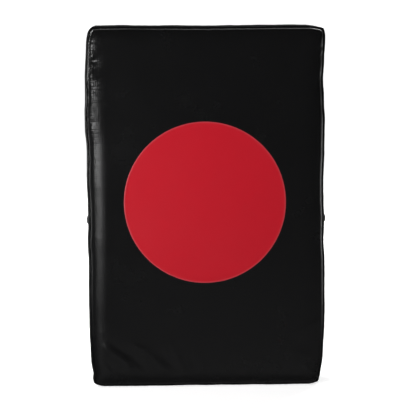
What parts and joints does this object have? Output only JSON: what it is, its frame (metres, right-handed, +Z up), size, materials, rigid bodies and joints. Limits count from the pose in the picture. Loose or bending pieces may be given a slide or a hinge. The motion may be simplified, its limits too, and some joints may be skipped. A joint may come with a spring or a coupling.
{
  "type": "tackle shield",
  "caption": "Hand-held boxed foam tackle shield in a piped vinyl cover with a round target, a zip across the lower back, forearm straps and padded hand grips.",
  "frame": {"origin": "centre of the flat bottom of the boxing strip, on which the shield stands, midway between the face's crown and the flat back", "axes": "+Z up along the shield's height, -Y out of the striking face, +Y out of the back with the handles, +X to the right as seen from the front"},
  "size_m": [0.405, 0.1924, 0.61],
  "materials": {
    "cover_vinyl": "satin",
    "piping_vinyl": "satin",
    "red_vinyl": "satin",
    "soft_foam": "matte",
    "firm_foam": "matte",
    "webbing": "matte",
    "zip_tape": "matte",
    "zip_teeth": "satin",
    "zip_metal": "satin",
    "grip_foam": "matte"
  },
  "bodies": {
    "shield": {"front_panel": "cover_vinyl", "target_disc": "red_vinyl", "boxing_upper": "cover_vinyl", "boxing_lower": "cover_vinyl", "piping_front": "piping_vinyl", "piping_back": "piping_vinyl", "back_panel": "cover_vinyl", "back_strip": "cover_vinyl", "strike_foam": "soft_foam", "core_foam": "firm_foam", "zip_tape_upper": "zip_tape", "zip_tape_lower": "zip_tape", "zip_teeth_upper": "zip_teeth", "zip_teeth_lower": "zip_teeth", "zip_stop_upper": "zip_metal", "zip_stop_lower": "zip_metal", "zip_end_stop": "zip_metal", "forearm_strap_left": "webbing", "forearm_strap_right": "webbing", "hand_strap_left": "webbing", "hand_strap_right": "webbing", "grip_sleeve_left": "grip_foam", "grip_sleeve_right": "grip_foam", "forearm_patch_left_upper": "cover_vinyl", "forearm_patch_left_lower": "cover_vinyl", "forearm_patch_right_upper": "cover_vinyl", "forearm_patch_right_lower": "cover_vinyl", "hand_patch_left_upper": "cover_vinyl", "hand_patch_left_lower": "cover_vinyl", "hand_patch_right_upper": "cover_vinyl", "hand_patch_right_lower": "cover_vinyl"},
    "slider": {"zip_slider": "zip_metal"},
    "pull": {"zip_pull": "zip_metal"}
  },
  "joints": [
    {"name": "zip_slide", "type": "slide", "parent": "shield", "child": "slider", "axis": [-1, 0, 0], "range_m": [0, 0.324], "deforming": ["zip_teeth_upper", "zip_teeth_lower"]},
    {"name": "pull_swing", "type": "hinge", "parent": "slider", "child": "pull", "pos_m": [0.16258, 0.066, 0.075], "axis": [0, 0, -1], "range_deg": [0, 175]}
  ]
}
